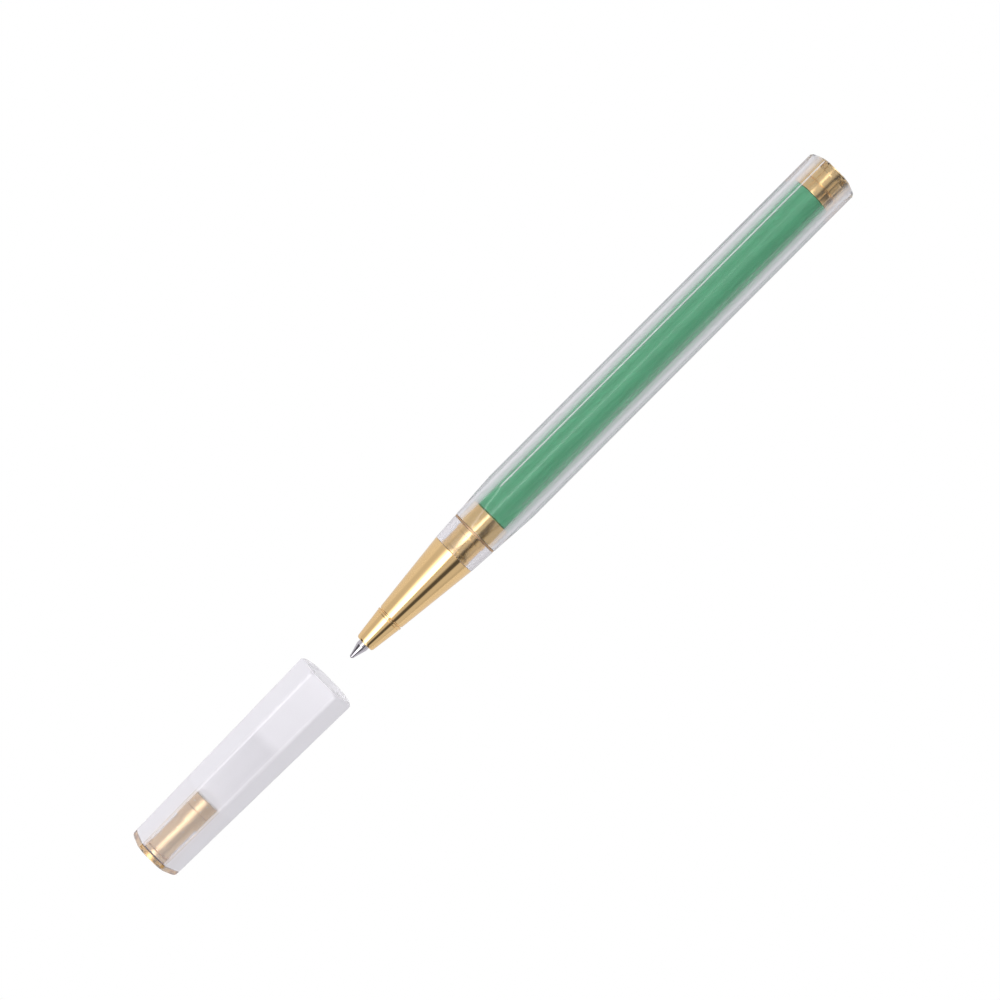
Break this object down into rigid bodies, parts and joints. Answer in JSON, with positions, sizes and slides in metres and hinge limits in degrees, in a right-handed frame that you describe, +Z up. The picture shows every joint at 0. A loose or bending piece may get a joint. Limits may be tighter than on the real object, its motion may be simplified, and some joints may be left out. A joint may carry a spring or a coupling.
{
  "type": "capped gel pen",
  "caption": "Capped gel pen with a clear six-sided barrel over a coloured sleeve, a brass screw-in front section, a slim refill and a frosted six-sided slide-on cap lined in brass.",
  "frame": {"origin": "middle of the pen-and-cap layout, at the height of the lowest point, the lower flat of the cap's mouth", "axes": "+X along the pen's axis towards its tail, the nib and cap towards -X, +Z up with a flat of the hexagon facing down, +Y towards a corner of the hexagon"},
  "size_m": [0.1924, 0.014, 0.0121],
  "materials": {
    "clear_acrylic": "polished clear acrylic",
    "frosted_plastic": "milky translucent plastic, polished outside and frosted in the bore",
    "brass": "polished turned brass",
    "steel": "turned stainless steel",
    "carbide": "ground tungsten carbide",
    "green_plastic": "satin moulded plastic in muted green",
    "ink": "wet gel ink",
    "grease": "clear amber grease",
    "tube_plastic": "translucent polypropylene",
    "white_plastic": "moulded natural white plastic",
    "silicone": "soft translucent silicone"
  },
  "bodies": {
    "barrel": {"barrel_shell": "clear_acrylic", "colour_sleeve": "green_plastic", "barrel_insert": "brass", "tail_plug": "brass", "buffer_spring": "steel"},
    "refill": {"nib_tip": "steel", "tip_holder": "white_plastic", "refill_tube": "tube_plastic", "ink_column": "ink", "ink_follower": "grease", "refill_plug": "tube_plastic"},
    "section": {"nose_piece": "brass", "section_cone": "brass", "section_neck": "brass", "grip_ring": "clear_acrylic"},
    "ball": {"writing_ball": "carbide"},
    "cap": {"cap_shell": "frosted_plastic", "cap_end_disc": "brass", "cap_socket": "brass", "inner_cap": "white_plastic", "nib_seal": "silicone"}
  },
  "joints": [
    {"name": "refill_advance", "type": "slide", "parent": "barrel", "child": "refill", "axis": [-1, 0, 0], "range_m": [0, 0.0045], "deforming": ["buffer_spring"]},
    {"name": "section_unscrew", "type": "hinge", "parent": "refill", "child": "section", "pos_m": [-0.02, 0, 0.00606], "axis": [-1, 0, 0], "range_deg": [0, 2165]},
    {"name": "ball_roll", "type": "hinge", "parent": "refill", "child": "ball", "pos_m": [-0.04005, 0, 0.00606], "axis": [0, 1, 0], "continuous": true},
    {"name": "cap_slide", "type": "slide", "parent": "refill", "child": "cap", "axis": [1, 0, 0], "range_m": [0, 0.0524]}
  ],
  "couplings": [
    {"joint": "section_unscrew", "follows": "refill_advance", "rad_per_m": 8377.6}
  ]
}
